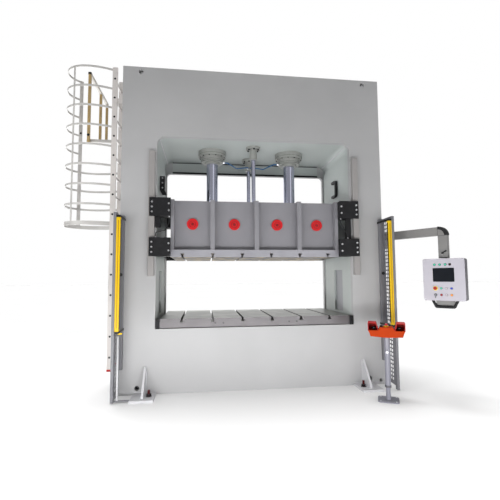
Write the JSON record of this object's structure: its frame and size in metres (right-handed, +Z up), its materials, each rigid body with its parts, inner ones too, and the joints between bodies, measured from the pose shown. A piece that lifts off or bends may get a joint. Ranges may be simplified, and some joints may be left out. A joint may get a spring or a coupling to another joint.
{
  "type": "hydraulic press",
  "caption": "Straight-side hydraulic press with a guided slide, T-slotted bolster, caged ladder, light-curtain guards, two-hand console and swivelling control pendant.",
  "frame": {"origin": "on the floor under the middle of the frame", "axes": "+X to the operator's right, +Y towards the press's back, +Z up"},
  "size_m": [5.1725, 2.6072, 4.6],
  "materials": {
    "frame_paint": "satin light grey",
    "inner_paint": "satin pale grey",
    "slide_paint": "satin mid grey",
    "cylinder_paint": "satin grey",
    "machined_steel": "machined, unpainted",
    "black_oxide": "black oxide",
    "red_paint": "satin red",
    "hard_chrome": "ground and chromed",
    "dark_bolts": "dark",
    "ladder_paint": "satin warm grey",
    "cage_paint": "satin grey",
    "tan_paint": "satin tan",
    "guard_paint": "satin grey",
    "yellow_paint": "satin yellow",
    "stand_paint": "satin grey",
    "orange_paint": "satin orange",
    "box_paint": "satin light grey",
    "arm_aluminium": "satin",
    "bright_metal": "bright",
    "black_plastic": "matte",
    "black_rubber": "matte",
    "black_tube": "matte",
    "blue_tube": "gloss",
    "red_plastic": "gloss",
    "yellow_plastic": "gloss",
    "red_button": "gloss",
    "green_lens": "gloss",
    "white_button": "gloss",
    "blue_button": "gloss",
    "amber_button": "gloss",
    "screen_glass": "dark glossy"
  },
  "bodies": {
    "press_frame": {"front_plate": "frame_paint", "rear_plate": "frame_paint", "side_plates": "frame_paint", "window_liner": "inner_paint", "crown_plate": "frame_paint", "bed": "frame_paint", "bolster": "machined_steel", "bolster_end_blocks": "black_oxide", "guide_rails": "frame_paint", "main_cylinders": "cylinder_paint", "balance_cylinders": "cylinder_paint", "feet": "frame_paint", "anchor_bolts": "dark_bolts", "ladder_stiles": "ladder_paint", "ladder_rungs": "ladder_paint", "stile_caps": "red_plastic", "cage_hoops": "cage_paint", "cage_straps": "cage_paint", "exit_guard_rail": "tan_paint", "side_guards": "guard_paint", "light_curtains": "yellow_paint", "curtain_brackets": "black_plastic", "cable_grommets": "black_rubber", "wall_stop_block": "black_oxide", "cable_hook": "black_oxide", "drain_tubes": "blue_tube", "console_stand": "stand_paint", "pendant_bracket": "frame_paint"},
    "slide": {"slide_body": "slide_paint", "slide_die_plate": "machined_steel", "slide_cover_discs": "red_paint", "guide_blocks_front": "black_oxide", "guide_blocks_rear": "black_oxide", "gib_strips": "black_oxide", "cylinder_rods": "hard_chrome", "lube_tubes": "black_tube"},
    "console": {"console_column": "stand_paint", "console_head": "orange_paint", "palm_shrouds": "red_plastic", "console_estop_collar": "yellow_plastic"},
    "clamp_knob": {"console_clamp_knob": "bright_metal"},
    "left_palm": {"palm_button_left": "black_plastic"},
    "right_palm": {"palm_button_right": "black_plastic"},
    "console_stop": {"console_estop": "red_button"},
    "console_push": {"console_button": "black_plastic"},
    "swivel_arm": {"pendant_arm": "arm_aluminium", "arm_elbow_cap": "black_plastic"},
    "clamp_lever": {"pendant_clamp_lever": "black_plastic"},
    "pendant": {"pendant_box": "box_paint", "pendant_screen": "screen_glass", "pendant_lamps": "green_lens", "pendant_handle": "black_plastic"},
    "green_push": {"green_button": "green_lens"},
    "white_push_upper": {"white_button_upper": "white_button"},
    "blue_push": {"blue_button": "blue_button"},
    "red_push": {"red_button": "red_button"},
    "white_push_lower": {"white_button_lower": "white_button"},
    "amber_push": {"amber_button": "amber_button"},
    "pendant_stop": {"pendant_estop": "red_button"},
    "key_switch": {"pendant_key_switch": "bright_metal"}
  },
  "joints": [
    {"name": "slide_travel", "type": "slide", "parent": "press_frame", "child": "slide", "axis": [0, 0, 1], "range_m": [-0.25, 0.5]},
    {"name": "console_height", "type": "slide", "parent": "press_frame", "child": "console", "axis": [0, 0, 1], "range_m": [-0.05, 0.12]},
    {"name": "clamp_knob_turn", "type": "hinge", "parent": "console", "child": "clamp_knob", "pos_m": [1.4637, -1.28591, 0.575], "axis": [-0.454, -0.891, 0], "range_deg": [0, 270]},
    {"name": "left_palm_press", "type": "slide", "parent": "console", "child": "left_palm", "axis": [0, 0, -1], "range_m": [0, 0.008], "stiffness_N_per_m": 1500, "springref_m": -0.004},
    {"name": "right_palm_press", "type": "slide", "parent": "console", "child": "right_palm", "axis": [0, 0, -1], "range_m": [0, 0.008], "stiffness_N_per_m": 1500, "springref_m": -0.004},
    {"name": "console_stop_press", "type": "slide", "parent": "console", "child": "console_stop", "axis": [0, 0, -1], "range_m": [0, 0.005]},
    {"name": "console_button_press", "type": "slide", "parent": "console", "child": "console_push", "axis": [0, 0, -1], "range_m": [0, 0.004], "stiffness_N_per_m": 1000, "springref_m": -0.003},
    {"name": "arm_swivel", "type": "hinge", "parent": "press_frame", "child": "swivel_arm", "pos_m": [1.872, -0.56, 1.99], "axis": [0, 0, 1], "range_deg": [-25, 95]},
    {"name": "pendant_swivel", "type": "hinge", "parent": "swivel_arm", "child": "pendant", "pos_m": [2.28108, -1.25447, 1.6947], "axis": [0, 0, 1], "range_deg": [-90, 90]},
    {"name": "clamp_lever_turn", "type": "hinge", "parent": "swivel_arm", "child": "clamp_lever", "pos_m": [2.25523, -1.2697, 1.765], "axis": [-0.8616, -0.5075, 0], "range_deg": [0, 60]},
    {"name": "green_push_press", "type": "slide", "parent": "pendant", "child": "green_push", "axis": [0.7314, 0.682, 0], "range_m": [0, 0.004], "stiffness_N_per_m": 400, "springref_m": -0.002},
    {"name": "white_push_upper_press", "type": "slide", "parent": "pendant", "child": "white_push_upper", "axis": [0.7314, 0.682, 0], "range_m": [0, 0.004], "stiffness_N_per_m": 400, "springref_m": -0.002},
    {"name": "blue_push_press", "type": "slide", "parent": "pendant", "child": "blue_push", "axis": [0.7314, 0.682, 0], "range_m": [0, 0.004], "stiffness_N_per_m": 400, "springref_m": -0.002},
    {"name": "red_push_press", "type": "slide", "parent": "pendant", "child": "red_push", "axis": [0.7314, 0.682, 0], "range_m": [0, 0.004], "stiffness_N_per_m": 400, "springref_m": -0.002},
    {"name": "white_push_lower_press", "type": "slide", "parent": "pendant", "child": "white_push_lower", "axis": [0.7314, 0.682, 0], "range_m": [0, 0.004], "stiffness_N_per_m": 400, "springref_m": -0.002},
    {"name": "amber_push_press", "type": "slide", "parent": "pendant", "child": "amber_push", "axis": [0.7314, 0.682, 0], "range_m": [0, 0.004], "stiffness_N_per_m": 400, "springref_m": -0.002},
    {"name": "pendant_stop_press", "type": "slide", "parent": "pendant", "child": "pendant_stop", "axis": [0.7314, 0.682, 0], "range_m": [0, 0.005]},
    {"name": "key_turn", "type": "hinge", "parent": "pendant", "child": "key_switch", "pos_m": [2.15276, -1.2415, 1.2457], "axis": [-0.7314, -0.682, 0], "range_deg": [-90, 0]}
  ]
}
